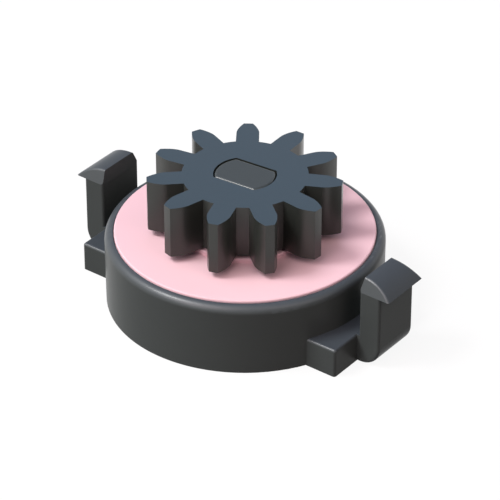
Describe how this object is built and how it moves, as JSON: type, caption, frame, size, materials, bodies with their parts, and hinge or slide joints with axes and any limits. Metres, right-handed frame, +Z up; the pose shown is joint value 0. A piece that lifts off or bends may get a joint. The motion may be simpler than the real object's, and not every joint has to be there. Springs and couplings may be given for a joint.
{
  "type": "rotary damper",
  "caption": "Miniature rotary damper: a round fluid-filled housing with two side snap arms and a spur pinion on its turning shaft, for slowing a lid or drawer.",
  "frame": {"origin": "centre of the housing's flat bottom face", "axes": "+X through the two snap arms, +Y across them, +Z up along the shaft towards the gear"},
  "size_m": [0.021, 0.0152, 0.0077],
  "materials": {
    "housing_plastic": "dark grey moulded plastic, satin",
    "cover_plastic": "pale pink moulded plastic, satin",
    "seal_rubber": "black silicone rubber",
    "rotor_plastic": "grey moulded plastic, satin",
    "gear_plastic": "dark grey moulded plastic, satin"
  },
  "bodies": {
    "body": {"housing": "housing_plastic", "cover": "cover_plastic", "o_ring": "seal_rubber"},
    "rotor": {"rotor": "rotor_plastic", "gear": "gear_plastic"}
  },
  "joints": [
    {"name": "gear_spin", "type": "hinge", "parent": "body", "child": "rotor", "pos_m": [0, 0, 0.00615], "axis": [0, 0, 1], "continuous": true}
  ]
}
